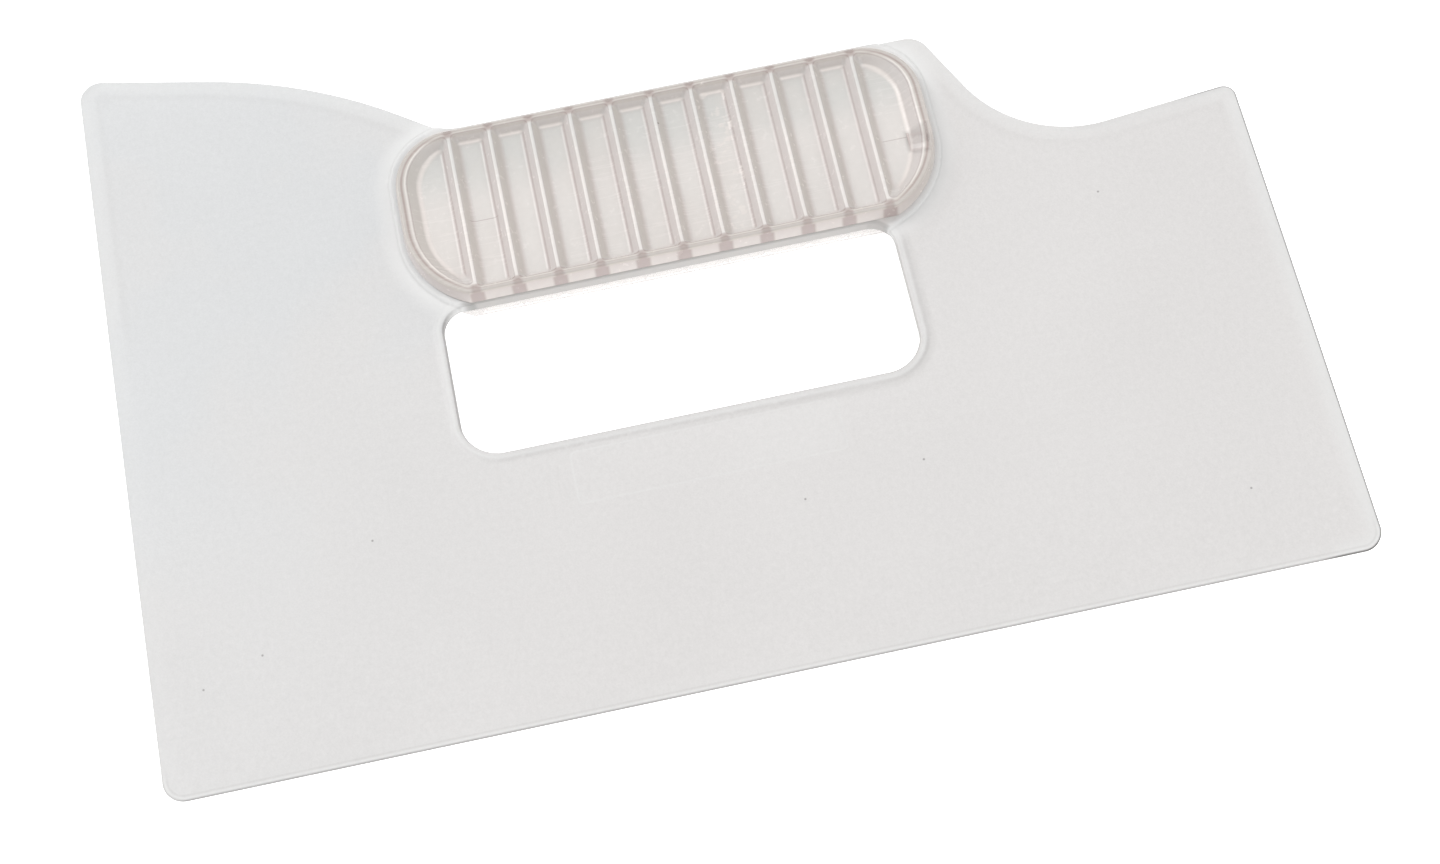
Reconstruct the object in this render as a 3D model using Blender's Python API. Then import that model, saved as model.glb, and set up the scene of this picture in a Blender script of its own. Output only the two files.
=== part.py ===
"""Flexible putty knife: a wide translucent blade with a hand slot, and a ribbed grip
made of two clear shells, one on each face of the bar above the slot.

The tool lies flat. +X runs along the working edge, +Y from the working edge to the grip,
+Z out of the front face. The origin is the middle of the tool's box, on its underside.
"""
from math import atan2, cos, hypot, radians, sin, tan

import bmesh
import bpy

# Blade outline, in metres. Heights are measured up from the working edge.
BLADE_LENGTH = 0.280
BLADE_DEPTH = 0.190
HEEL_RISE = 0.0343
LOBE_DROP = 0.0309
LOBE_SLOPE = radians(5.6)
SHOULDER_SLOPE = radians(12.8)
SHOULDER_FOOT_SLOPE = radians(36.2)
STEP_SLOPE = radians(64.2)
EDGE_CORNER_RADIUS = 0.005
LOBE_CORNER_RADIUS = 0.003
SHOULDER_RADIUS = 0.125
SHOULDER_FOOT_RADIUS = 0.0134
BAR_END_RADIUS = 0.0056
STEP_RADIUS = 0.0313

# Blade thickness: full around the grip, thinner towards the working edge, which is bevelled.
BLADE_THICKNESS = 0.0020
TAPERED_THICKNESS = 0.0012
EDGE_THICKNESS = 0.0007
EDGE_BEVEL_WIDTH = 0.0035
TAPER_END = 0.055

# Bar above the slot, and the hand slot.
BAR_WIDTH = 0.0491
SLOT_LENGTH = 0.1103
SLOT_HEIGHT = 0.0394
SLOT_CENTRE_X = -0.0055
SLOT_LOWER_RADIUS = 0.0092
SLOT_UPPER_RADIUS = 0.0060
SLOT_LIP_WIDTH = 0.0028
SLOT_LIP_RISE = 0.0004
LIP_SINK = 0.0003

# Grip: two mirrored shells seated on a low pad on each face of the bar.
GRIP_LENGTH = 0.1313
GRIP_CENTRE_X = -0.00045
GRIP_UPPER_RADIUS = 0.0145
GRIP_LOWER_RADIUS = 0.0230
GRIP_FOOT_RADIUS = 0.0015
GRIP_FOOT_SPAN = 0.0132
GRIP_FOOT_SLOPE = radians(26)
GRIP_RISE = 0.0055
LOWER_FLANGE = 0.0002
UPPER_FLANGE = 0.0026
BAR_RIGHT_MARGIN = 0.0029
SHOULDER_FOOT_INSET = 0.0143
PAD_RISE = 0.0008
PAD_END_LIP = 0.0019
PAD_CHAMFER = 0.0004
SEAT_GAP = 0.0003

# Grip walls, floor and ribs.
FLOOR_THICKNESS = 0.0013
WALL_OUTER_DRAFT = 0.0005
WALL_ROUND = 0.0005
WALL_CREST_WIDTH = 0.0010
WALL_INNER_DRAFT = 0.0016
FLOOR_FILLET = 0.0006
RIB_COUNT = 11
RIB_BASE_WIDTH = 0.0043
RIB_CREST_WIDTH = 0.0009
RIB_ROUND = 0.0004
RIB_DROP = 0.0005
END_SPAN = 0.0152

# Key: a square tab on the rear shell that locates it through the blade in the front shell.
KEY_SIZE = 0.0041
KEY_INSET = 0.0021
KEY_OFFSET_Y = -0.0046
KEY_BITE = 0.0007
KEY_CLEARANCE = 0.0003

# Fineness of the curves, the part of a side that fillets may use, and how far cutters overrun.
OUTLINE_STEPS = 10
WALL_ROUND_STEPS = 3
FILLET_SHARE = 0.98
CUT_MARGIN = 0.002
LEAST_RADIUS = 0.0003

# Levels and places that follow from the sizes above.
EDGE_Y = -BLADE_DEPTH / 2
BAR_TOP_Y = EDGE_Y + BLADE_DEPTH - HEEL_RISE
SLOT_TOP_Y = BAR_TOP_Y - BAR_WIDTH
GRIP_TOP_Y = BAR_TOP_Y - UPPER_FLANGE
GRIP_BOTTOM_Y = SLOT_TOP_Y + LOWER_FLANGE
GRIP_LEFT_X = GRIP_CENTRE_X - GRIP_LENGTH / 2
GRIP_RIGHT_X = GRIP_CENTRE_X + GRIP_LENGTH / 2
MID_Z = GRIP_RISE + BLADE_THICKNESS / 2
SEAT_Z = BLADE_THICKNESS / 2 + PAD_RISE + SEAT_GAP
CREST_Z = BLADE_THICKNESS / 2 + GRIP_RISE
WALL_TOP_INSET = WALL_OUTER_DRAFT + WALL_ROUND


def clear_scene():
    for item in list(bpy.data.objects):
        bpy.data.objects.remove(item, do_unlink=True)


def make_material(name, colour, roughness, alpha):
    material = bpy.data.materials.new(name)
    material.use_nodes = True
    shader = material.node_tree.nodes["Principled BSDF"]
    shader.inputs["Base Color"].default_value = (*colour, 1.0)
    shader.inputs["Roughness"].default_value = roughness
    shader.inputs["Metallic"].default_value = 0.0
    shader.inputs["Alpha"].default_value = alpha
    return material


def milky_blade_plastic():
    return make_material("milky_blade_plastic", (0.78, 0.79, 0.80), 0.42, 0.75)


def clear_grip_plastic(name):
    return make_material(name, (0.86, 0.79, 0.78), 0.14, 0.45)


def unit(x, y):
    length = hypot(x, y)
    return x / length, y / length


def rounded_outline(corners):
    """Anticlockwise outline from (x, y, radius) corners. Where two fillets together would be
    longer than the side between them, both are limited to what the side can hold."""
    count = len(corners)
    sides, tangents = [], []
    for i, (x, y, radius) in enumerate(corners):
        before, after = corners[i - 1], corners[(i + 1) % count]
        back = unit(before[0] - x, before[1] - y)
        ahead = unit(after[0] - x, after[1] - y)
        spread = hypot(back[0] - ahead[0], back[1] - ahead[1])
        opening = spread / hypot(back[0] + ahead[0], back[1] + ahead[1])
        sides.append((back, ahead, opening))
        tangents.append(radius / opening)
    points = []
    for i, (x, y, radius) in enumerate(corners):
        share = 1.0
        for j in (i - 1, (i + 1) % count):
            side_length = hypot(corners[j][0] - x, corners[j][1] - y)
            share = min(share, FILLET_SHARE * side_length / (tangents[i] + tangents[j]))
        points += fillet_points(x, y, *sides[i], tangents[i] * share)
    return points


def fillet_points(x, y, back, ahead, opening, tangent):
    """Arc between the sides that leave a corner along back and ahead. opening is the tangent
    of half the angle between them."""
    radius = tangent * opening
    forward = (-back[0], -back[1])
    side = 1 if forward[0] * ahead[1] - forward[1] * ahead[0] > 0 else -1
    normal = (-forward[1] * side, forward[0] * side)
    centre_x = x + back[0] * tangent + normal[0] * radius
    centre_y = y + back[1] * tangent + normal[1] * radius
    turn = 2 * atan2(1.0, opening)
    points = []
    for k in range(OUTLINE_STEPS + 1):
        along = radius * sin(turn * k / OUTLINE_STEPS)
        inward = -radius * cos(turn * k / OUTLINE_STEPS)
        points.append((centre_x + forward[0] * along + normal[0] * inward,
                       centre_y + forward[1] * along + normal[1] * inward))
    return points


def rectangle(left, bottom, right, top, lower_radius, upper_radius):
    return rounded_outline([(left, bottom, lower_radius), (right, bottom, lower_radius),
                            (right, top, upper_radius), (left, top, upper_radius)])


def add_rings(shape, rings):
    """Closed solid through rings of equal length, given from its bottom to its top."""
    loops = [[shape.verts.new(point) for point in ring] for ring in rings]
    shape.faces.new(list(reversed(loops[0])))
    shape.faces.new(loops[-1])
    for lower, upper in zip(loops, loops[1:]):
        count = len(lower)
        for i in range(count):
            j = (i + 1) % count
            shape.faces.new((lower[i], lower[j], upper[j], upper[i]))


def level_rings(levels):
    return [[(x, y, z) for x, y in outline] for outline, z in levels]


def new_object(name, shape):
    mesh = bpy.data.meshes.new(name)
    shape.to_mesh(mesh)
    shape.free()
    item = bpy.data.objects.new(name, mesh)
    bpy.context.scene.collection.objects.link(item)
    return item


def loft(name, levels):
    """Closed solid through (outline, z) levels from bottom to top."""
    shape = bmesh.new()
    add_rings(shape, level_rings(levels))
    return new_object(name, shape)


def as_cutter(item):
    item.hide_render = True
    item.display_type = "WIRE"
    return item


def combine(target, other, operation):
    step = target.modifiers.new(other.name, "BOOLEAN")
    step.operation = operation
    step.solver = "EXACT"
    step.object = as_cutter(other)


def blade_outline():
    """Plan of the blade: heel and shoulder on the left, bar in the middle, lobe on the right."""
    left, right = -BLADE_LENGTH / 2, BLADE_LENGTH / 2
    heel_radius = EDGE_CORNER_RADIUS
    corner_rise = (1 + sin(SHOULDER_SLOPE)) / cos(SHOULDER_SLOPE) - 1
    shoulder_start = EDGE_Y + BLADE_DEPTH + heel_radius * corner_rise
    foot = (GRIP_LEFT_X + SHOULDER_FOOT_INSET, BAR_TOP_Y)
    step_top = (GRIP_RIGHT_X + BAR_RIGHT_MARGIN, BAR_TOP_Y)
    lobe_height = BAR_TOP_Y - LOBE_DROP
    fall, foot_fall = tan(SHOULDER_SLOPE), tan(SHOULDER_FOOT_SLOPE)
    bend_x = (foot[1] + foot_fall * foot[0] - shoulder_start - fall * left) / (foot_fall - fall)
    bend_y = shoulder_start - fall * (bend_x - left)
    step_fall, lobe_rise = tan(STEP_SLOPE), tan(LOBE_SLOPE)
    fall_to_lobe = step_top[1] - lobe_height + step_fall * step_top[0] + lobe_rise * right
    hollow_x = fall_to_lobe / (step_fall + lobe_rise)
    hollow_y = lobe_height + lobe_rise * (hollow_x - right)
    corners = [(left, EDGE_Y, EDGE_CORNER_RADIUS), (right, EDGE_Y, EDGE_CORNER_RADIUS),
               (right, lobe_height, LOBE_CORNER_RADIUS), (hollow_x, hollow_y, STEP_RADIUS),
               (*step_top, BAR_END_RADIUS), (*foot, SHOULDER_FOOT_RADIUS),
               (bend_x, bend_y, SHOULDER_RADIUS), (left, shoulder_start, heel_radius)]
    return rounded_outline(corners)


def blade_section():
    """Solid of the blade's side profile, from edge to heel, wider than the blade."""
    far = CUT_MARGIN
    half = [(EDGE_Y - far, EDGE_THICKNESS / 2), (EDGE_Y, EDGE_THICKNESS / 2),
            (EDGE_Y + EDGE_BEVEL_WIDTH, TAPERED_THICKNESS / 2),
            (EDGE_Y + TAPER_END, BLADE_THICKNESS / 2),
            (EDGE_Y + BLADE_DEPTH + far, BLADE_THICKNESS / 2)]
    profile = [(y, MID_Z - z) for y, z in half] + [(y, MID_Z + z) for y, z in reversed(half)]
    reach = BLADE_LENGTH / 2 + far
    shape = bmesh.new()
    add_rings(shape, [[(x, y, z) for y, z in profile] for x in (-reach, reach)])
    return new_object("blade", shape)


def slot_outline(outset):
    return rectangle(SLOT_CENTRE_X - SLOT_LENGTH / 2 - outset, SLOT_TOP_Y - SLOT_HEIGHT - outset,
                     SLOT_CENTRE_X + SLOT_LENGTH / 2 + outset, SLOT_TOP_Y + outset,
                     SLOT_LOWER_RADIUS + outset, SLOT_UPPER_RADIUS + outset)


def raised_area(name, outline, inner_outline, rise, chamfer):
    """Solid that stands equally proud of both faces of the blade, with chamfered rims."""
    top = BLADE_THICKNESS / 2 + rise
    return loft(name, [(inner_outline, MID_Z - top), (outline, MID_Z - top + chamfer),
                       (outline, MID_Z + top - chamfer), (inner_outline, MID_Z + top)])


def slot_lip():
    """Rim around the slot whose sloped edge runs into the faces of the blade."""
    return raised_area("slot_lip", slot_outline(SLOT_LIP_WIDTH), slot_outline(SLOT_LIP_WIDTH / 2),
                       SLOT_LIP_RISE, SLOT_LIP_RISE + LIP_SINK)


def grip_plan(inset, side_inset):
    """Plan of the grip: full upper corners, and lower ends that slope in to a short foot.
    side_inset moves the two long sides, inset everything else."""
    left, right = GRIP_LEFT_X + inset, GRIP_RIGHT_X - inset
    bottom, top = GRIP_BOTTOM_Y + side_inset, GRIP_TOP_Y - side_inset
    slope = tan(GRIP_FOOT_SLOPE)
    end_rise = slope * (GRIP_FOOT_SPAN - inset) + inset / cos(GRIP_FOOT_SLOPE)
    end_y = GRIP_BOTTOM_Y + end_rise
    foot_reach = (end_y - bottom) / slope
    upper_radius = GRIP_UPPER_RADIUS - inset
    lower_radius = GRIP_LOWER_RADIUS - inset
    foot_radius = max(GRIP_FOOT_RADIUS - inset, LEAST_RADIUS)
    return rounded_outline([
        (left + foot_reach, bottom, foot_radius), (right - foot_reach, bottom, foot_radius),
        (right, end_y, lower_radius), (right, top, upper_radius),
        (left, top, upper_radius), (left, end_y, lower_radius)])


def grip_outline(inset):
    return grip_plan(inset, inset)


def pad_outline(inset):
    """The pad runs past both edges of the bar, where the blade's own outline trims it."""
    return grip_plan(inset - PAD_END_LIP, -UPPER_FLANGE - CUT_MARGIN)


def grip_pad():
    return raised_area("grip_pad", pad_outline(0.0), pad_outline(PAD_CHAMFER), PAD_RISE, PAD_CHAMFER)


def key_box(name, growth, bottom, top):
    """Square prism at the key's place, grown by a clearance on its four sides."""
    centre_x = GRIP_RIGHT_X - KEY_INSET - KEY_SIZE / 2
    centre_y = (GRIP_BOTTOM_Y + GRIP_TOP_Y) / 2 + KEY_OFFSET_Y
    half = KEY_SIZE / 2 + growth
    outline = [(centre_x - half, centre_y - half), (centre_x + half, centre_y - half),
               (centre_x + half, centre_y + half), (centre_x - half, centre_y + half)]
    return loft(name, [(outline, bottom), (outline, top)])


def make_blade():
    item = blade_section()
    combine(item, slot_lip(), "UNION")
    combine(item, grip_pad(), "UNION")
    tall = BLADE_THICKNESS / 2 + PAD_RISE + CUT_MARGIN
    plan = blade_outline()
    combine(item, loft("blade_plan", [(plan, MID_Z - tall), (plan, MID_Z + tall)]), "INTERSECT")
    slot = slot_outline(0.0)
    combine(item, loft("slot_cut", [(slot, MID_Z - tall), (slot, MID_Z + tall)]), "DIFFERENCE")
    combine(item, key_box("key_window", KEY_CLEARANCE, MID_Z - tall, MID_Z + tall), "DIFFERENCE")
    item.data.materials.append(milky_blade_plastic())
    return item


def mirrored(levels, side):
    """Levels above the blade's middle, turned to the front (1) or rear (-1) of the blade."""
    placed = [(outline, MID_Z + side * z) for outline, z in levels]
    return placed if side > 0 else list(reversed(placed))


def shell_body(name, side):
    """Outer form of a shell, with a drafted wall that rounds over to its crest."""
    levels = [(grip_outline(0.0), SEAT_Z)]
    for k in range(WALL_ROUND_STEPS + 1):
        angle = radians(90.0) * k / WALL_ROUND_STEPS
        inset = WALL_OUTER_DRAFT + WALL_ROUND * (1 - cos(angle))
        levels.append((grip_outline(inset), CREST_Z - WALL_ROUND * (1 - sin(angle))))
    return loft(name, mirrored(levels, side))


def wall_base_inset():
    return WALL_TOP_INSET + WALL_CREST_WIDTH + WALL_INNER_DRAFT


def cavity(name, side):
    """Everything that the shell's wall surrounds, down to the floor."""
    floor = SEAT_Z + FLOOR_THICKNESS
    base, crest = wall_base_inset(), WALL_TOP_INSET + WALL_CREST_WIDTH
    levels = [(grip_outline(base + FLOOR_FILLET), floor), (grip_outline(base), floor + FLOOR_FILLET),
              (grip_outline(crest), CREST_Z), (grip_outline(crest), CREST_Z + CUT_MARGIN)]
    return loft(name, mirrored(levels, side))


def rib_x(index):
    pitch = (GRIP_LENGTH - 2 * END_SPAN) / (RIB_COUNT - 1)
    return GRIP_LEFT_X + END_SPAN + index * pitch


def rib_section(centre_x, width):
    """Plan of one rib at one level. Its ends are buried in the long walls."""
    buried = WALL_TOP_INSET + WALL_CREST_WIDTH / 2
    left, right = centre_x - width / 2, centre_x + width / 2
    bottom, top = GRIP_BOTTOM_Y + buried, GRIP_TOP_Y - buried
    return [(left, bottom), (right, bottom), (right, top), (left, top)]


def ribs(name, side):
    """All the ribs of one shell: wide at the floor, narrow and rounded at the crest."""
    floor, crest = SEAT_Z + FLOOR_THICKNESS, CREST_Z - RIB_DROP
    shape = bmesh.new()
    for i in range(RIB_COUNT):
        x = rib_x(i)
        levels = [(rib_section(x, RIB_BASE_WIDTH), floor - FLOOR_THICKNESS / 2),
                  (rib_section(x, RIB_BASE_WIDTH), floor),
                  (rib_section(x, RIB_CREST_WIDTH + 2 * RIB_ROUND), crest - 2 * RIB_ROUND),
                  (rib_section(x, RIB_CREST_WIDTH + RIB_ROUND), crest - RIB_ROUND / 2),
                  (rib_section(x, RIB_CREST_WIDTH), crest)]
        add_rings(shape, level_rings(mirrored(levels, side)))
    return new_object(name, shape)


def make_shell(name, side):
    item = shell_body(name, side)
    combine(item, cavity(name + "_cavity", side), "DIFFERENCE")
    combine(item, ribs(name + "_ribs", side), "UNION")
    item.data.materials.append(clear_grip_plastic(name + "_plastic"))
    return item


def make_front_shell():
    item = make_shell("grip_front", 1)
    socket = key_box("key_socket", KEY_CLEARANCE, MID_Z, MID_Z + SEAT_Z + KEY_BITE)
    combine(item, socket, "DIFFERENCE")


def make_rear_shell():
    item = make_shell("grip_rear", -1)
    root = MID_Z - SEAT_Z - FLOOR_THICKNESS / 2
    key = key_box("key", 0.0, root, MID_Z + SEAT_Z + KEY_BITE - KEY_CLEARANCE)
    combine(item, key, "UNION")


clear_scene()
make_blade()
make_front_shell()
make_rear_shell()
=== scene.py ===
"""Flexible putty knife: a milky translucent blade with a hand slot, and a clear ribbed grip
made of two shells, one on each face of the bar above the slot."""
import math

import bmesh
import bpy
import numpy as np
from mathutils import Matrix, Vector
from mathutils.geometry import delaunay_2d_cdt


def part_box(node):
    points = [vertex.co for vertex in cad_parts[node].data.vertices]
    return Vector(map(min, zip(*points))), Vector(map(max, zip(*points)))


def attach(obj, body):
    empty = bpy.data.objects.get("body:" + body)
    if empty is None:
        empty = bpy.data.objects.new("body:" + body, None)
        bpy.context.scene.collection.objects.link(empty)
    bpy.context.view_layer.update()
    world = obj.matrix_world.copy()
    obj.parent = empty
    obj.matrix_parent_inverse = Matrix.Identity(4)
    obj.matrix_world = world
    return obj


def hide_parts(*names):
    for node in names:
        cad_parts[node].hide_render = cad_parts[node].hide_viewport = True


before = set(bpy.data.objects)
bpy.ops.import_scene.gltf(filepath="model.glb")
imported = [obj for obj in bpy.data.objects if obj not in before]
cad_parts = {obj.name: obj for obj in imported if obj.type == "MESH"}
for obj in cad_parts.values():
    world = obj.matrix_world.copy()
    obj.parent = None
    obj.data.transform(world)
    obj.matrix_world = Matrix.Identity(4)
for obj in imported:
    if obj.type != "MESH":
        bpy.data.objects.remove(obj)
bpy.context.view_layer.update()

BLADE_LOW, BLADE_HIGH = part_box("blade")
FRONT_LOW, FRONT_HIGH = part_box("grip_front")
_, REAR_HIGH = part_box("grip_rear")

# Levels, measured from the middle plane of the blade, and places that follow from the frame.
MID_Z = (BLADE_LOW.z + BLADE_HIGH.z) / 2
SEAT = FRONT_LOW.z - MID_Z
CREST = FRONT_HIGH.z - MID_Z
PAD_TOP = BLADE_HIGH.z - MID_Z
KEY_TOP = REAR_HIGH.z - MID_Z
LEFT, RIGHT = BLADE_LOW.x, BLADE_HIGH.x
EDGE_Y, HEEL_Y = BLADE_LOW.y, BLADE_HIGH.y
GRIP_LEFT, GRIP_RIGHT = FRONT_LOW.x, FRONT_HIGH.x
GRIP_BOTTOM, GRIP_TOP = FRONT_LOW.y, FRONT_HIGH.y
GRIP_MID_X = (GRIP_LEFT + GRIP_RIGHT) / 2
GRIP_MID_Y = (GRIP_BOTTOM + GRIP_TOP) / 2

# Blade outline.
LOWER_FLANGE = 0.0002
UPPER_FLANGE = 0.0026
BAR_TOP_Y = GRIP_TOP + UPPER_FLANGE
SLOT_TOP_Y = GRIP_BOTTOM - LOWER_FLANGE
LOBE_DROP = 0.0309
LOBE_SLOPE = math.radians(5.6)
SHOULDER_SLOPE = math.radians(12.8)
SHOULDER_FOOT_SLOPE = math.radians(36.2)
SHOULDER_FOOT_INSET = 0.0143
STEP_SLOPE = math.radians(64.2)
BAR_RIGHT_MARGIN = 0.0029
EDGE_CORNER_RADIUS = 0.005
LOBE_CORNER_RADIUS = 0.003
SHOULDER_RADIUS = 0.125
SHOULDER_FOOT_RADIUS = 0.0134
BAR_END_RADIUS = 0.0056
STEP_RADIUS = 0.0313

# Blade thickness and its surface features.
HALF_THICKNESS = 0.0010
HALF_TAPERED = 0.0006
HALF_EDGE = 0.00035
EDGE_BEVEL_WIDTH = 0.0035
TAPER_END = 0.055
RIM_ROUND = 0.00025
SLOT_LENGTH = 0.1103
SLOT_HEIGHT = 0.0394
SLOT_CENTRE_X = -0.0055
SLOT_LOWER_RADIUS = 0.0092
SLOT_UPPER_RADIUS = 0.0060
LIP_WIDTH = 0.0028
LIP_SLOPE_WIDTH = 0.0016
LIP_RISE = 0.0004
LIP_ROUND = 0.0007
PAD_RISE = PAD_TOP - HALF_THICKNESS
PAD_END_LIP = 0.0019
PAD_OVERRUN = 0.002
PAD_SLOPE_WIDTH = 0.0010
SWELL_RISE = 0.00012
SWELL_WIDTH = 0.0045
PANEL_LENGTH, PANEL_HEIGHT = 0.064, 0.0135
PANEL_X, PANEL_Y = -0.0050, -0.0380
PANEL_RADIUS = 0.0015
PANEL_RISE = 0.00005
PANEL_SLOPE_WIDTH = 0.0006

# Grip shells.
UPPER_RADIUS = 0.0145
LOWER_RADIUS = 0.0228
FOOT_RADIUS = 0.0012
FOOT_SPAN = 0.0132
FOOT_SLOPE = math.radians(26)
FLOOR = SEAT + 0.0013
SEAT_ROUND = 0.00025
WALL_DRAFT = 0.0005
WALL_ROUND = 0.0006
WALL_TOP_INSET = WALL_DRAFT + WALL_ROUND
WALL_CREST_WIDTH = 0.0008
WALL_INNER_DRAFT = 0.0014
END_WALL_EXTRA = 0.0013
END_DRAFT_EXTRA = 0.0012
RIB_COUNT = 11
RIB_BASE_WIDTH = 0.0043
RIB_CREST_WIDTH = 0.0011
RIB_DROP = 0.0005
RIB_DROP_WIDTH = 0.002
RIM_RADIUS = 0.00045
FLOOR_FILLET = 0.0009
POCKET_CORNER = 0.0011
LEAST_POCKET_CORNER = 0.0002
END_SPAN = 0.0152
KEY_SIZE = 0.0041
KEY_INSET = 0.0021
KEY_OFFSET_Y = -0.0046
KEY_CLEARANCE = 0.0003
KEY_RADIUS = 0.00025
MOULD_LINES = ((0.0317, 0.0520, 0.0590), (0.0327, -0.0500, -0.0420))

# Colours of the plastics, and of the light and shade painted on them.
MILKY_WARM = (0.632, 0.619, 0.613, 1.0)
MILKY_COOL = (0.575, 0.592, 0.606, 1.0)
MILKY_PALE = (0.614, 0.614, 0.614, 1.0)
MILKY_CLEAR_AND_GLINT = (0.705, 0.710, 0.704, 1.0)
MILKY_DARK = (0.085, 0.080, 0.076, 1.0)
HALO_PALE = (0.740, 0.742, 0.738, 1.0)
MILKY_SHADE = (0.330, 0.318, 0.308, 1.0)
UNDER_GRIP = (0.675, 0.655, 0.640, 1.0)
POCKET_PALE = (0.830, 0.800, 0.775, 1.0)
POCKET_SHADE = (0.680, 0.690, 0.672, 1.0)
POCKET_WARM = (0.790, 0.742, 0.710, 1.0)
RIB_LIT = (0.715, 0.655, 0.640, 1.0)
OLIVE_SHADE = (0.630, 0.580, 0.535, 1.0)
ROSY_SHADE = (0.640, 0.570, 0.545, 1.0)
ROSY_DEEP = (0.330, 0.240, 0.228, 1.0)
REAR_PALE = (0.930, 0.900, 0.880, 1.0)
HIGHLIGHT_AND_WEAR = (0.940, 0.880, 0.835, 1.0)
DUST = (0.100, 0.090, 0.085, 1.0)

# Directions on the tool, and how far the rubs and streaks turn from them.
STREAK_TURN = math.radians(12)
TO_LEFT, TO_RIGHT = (-1.0, 0.0, 0.0), (1.0, 0.0, 0.0)
TO_EDGE, TO_TOP = (0.0, -1.0, 0.0), (0.0, 1.0, 0.0)
TO_FRONT = (0.0, 0.0, 1.0)
FROM_LIGHT = (0.75, -0.66, 0.0)
TOWARDS_LIGHT = (-0.55, 0.83, 0.0)

# Where each tint of the blade starts, peaks and ends. A lean says how far a tint that runs
# across the blade leans from X to Y.
COOL_LEAN = -0.62
COOL_REACH = (0.01, 0.15)
CLOUD_REACH = (-0.02, 0.10)
PALE_LEAN = -0.5
PALE_REACH = (-0.12, 0.02)
LOWER_RIM = (EDGE_Y + 0.004, EDGE_Y + 0.008)
RIGHT_RIM = (RIGHT - 0.016, RIGHT - 0.008)
RIM_CLIMB = (-0.02, 0.05)
RIM_BAND = (0.0008, 0.0052)
RIM_FOOT = (0.0032, 0.0044, 0.0062)
RIM_FOOT_CLIMB = (0.01, 0.03)
EDGE_LINE = (0.0001, 0.0005)
BEVEL_STRIP = (0.0003, 0.0006, 0.0010)
BEVEL_LINE = (0.0008, 0.0012, 0.0016)
LIP_FOOT = (0.0016, 0.0027, 0.0046)
LIP_FOOT_LEAN = -1.2
LIP_FOOT_REACH = (-0.01, 0.07)
LIP_GLINT = (0.0006, 0.0013, 0.0021)
SLOT_LINE = (0.0, 0.0005)
HALO = (-0.0024, -0.0006, 0.0050)
HALO_LINE = (-0.0006, -0.0002, 0.0003)
BELOW_GRIP = (-0.0024, -0.0018)
ON_PAD = (-0.0014, -0.0006)
BAR_EDGE = (0.0004, 0.0012)
PANEL_LINE = (-0.0007, -0.0002, 0.0003)
PANEL_INSIDE = (-0.0012, -0.0004)
PANEL_CLIMB = (-0.02, 0.03)

# Where each tint of the grip starts, peaks and ends.
POCKET_CLIMB = (GRIP_BOTTOM + 0.004, GRIP_TOP - 0.003)
RIB_END = (0.0013, 0.0022)
RIB_JOINT = (0.0006, 0.0016)
BESIDE_RIBS = (0.002, 0.003)
LEFT_END = (GRIP_LEFT + 0.009, GRIP_LEFT + 0.013)
RIGHT_END = (GRIP_RIGHT - 0.013, GRIP_RIGHT - 0.009)
WALL_LINE = (0.0001, 0.0005, 0.0009)
NEAR_CREST = (CREST - 0.0012, CREST - 0.0006)
IN_WALL = (0.0022, 0.0030)
CREST_LINE = (0.0014, 0.0018, 0.0023)
LOWER_SIDE = (GRIP_BOTTOM + 0.0018, GRIP_BOTTOM + 0.0035)
UPPER_SIDE = (GRIP_TOP - 0.0035, GRIP_TOP - 0.0018)
RIDGE_REACH = (GRIP_BOTTOM + 0.004, GRIP_BOTTOM + 0.014, GRIP_TOP - 0.006)
RIDGE_TOP = (0.85, 1.0)
RIDGE_FLANK = (0.05, 0.5, 0.85)
LEVEL_FLOOR = (0.25, 0.45)
WORN_START, WORN_END = (0.010, 0.013), (0.017, 0.020)
MOULD_LINE_WIDTH = (0.00005, 0.00022)
MOULD_LINE_FADE = 0.001
KEY_DEPTH = (FLOOR, FLOOR + 0.0003)
KEY_EDGE = (KEY_SIZE / 2 - 0.0004, KEY_SIZE / 2, KEY_SIZE / 2 + 0.0006)
OVER_KEY = (KEY_SIZE / 2, KEY_SIZE / 2 + 0.0015)

# Studio.
FLOOR_REACH = 4.0
FLOOR_WHITE = (0.93, 0.93, 0.93)
FLOOR_GLOW = 0.55
ROOM_LIGHT = 0.8
LENS, SENSOR_WIDTH = 64.5, 36.0
CAMERA_PLACE = (-0.0236, -0.2776, 0.5574)
CAMERA_AIM = (-0.0015, -0.0340, 0.0075)
CAMERA_ROLL = math.radians(-7.02)

# Fineness of the meshes.
ARC_STEP = math.radians(5)
WIDE_RADIUS = 0.02
LEAST_RADIUS = 0.0003
ROUND_STEPS = 5
WALL_STEPS = 6
CORNER_STEPS = 12
RIB_SIDE_STEPS = 14
SIDE_STEP = 0.0015
FIELD_STEP = 0.005
FIELD_GAP = 0.00025
RIM_LOOPS = (0.0008, 0.0016, 0.0026, 0.0036, 0.0048)
RIM_CLEARANCE = 2.2 * RIM_ROUND
LIP_CLEARANCE = 1.4 * LIP_ROUND
SHARPEST_CORNER = 0.3
SAME_POINT = 1e-7
SHADING_WEIGHT = 80


def unit(x, y):
    length = math.hypot(x, y)
    return x / length, y / length


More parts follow.
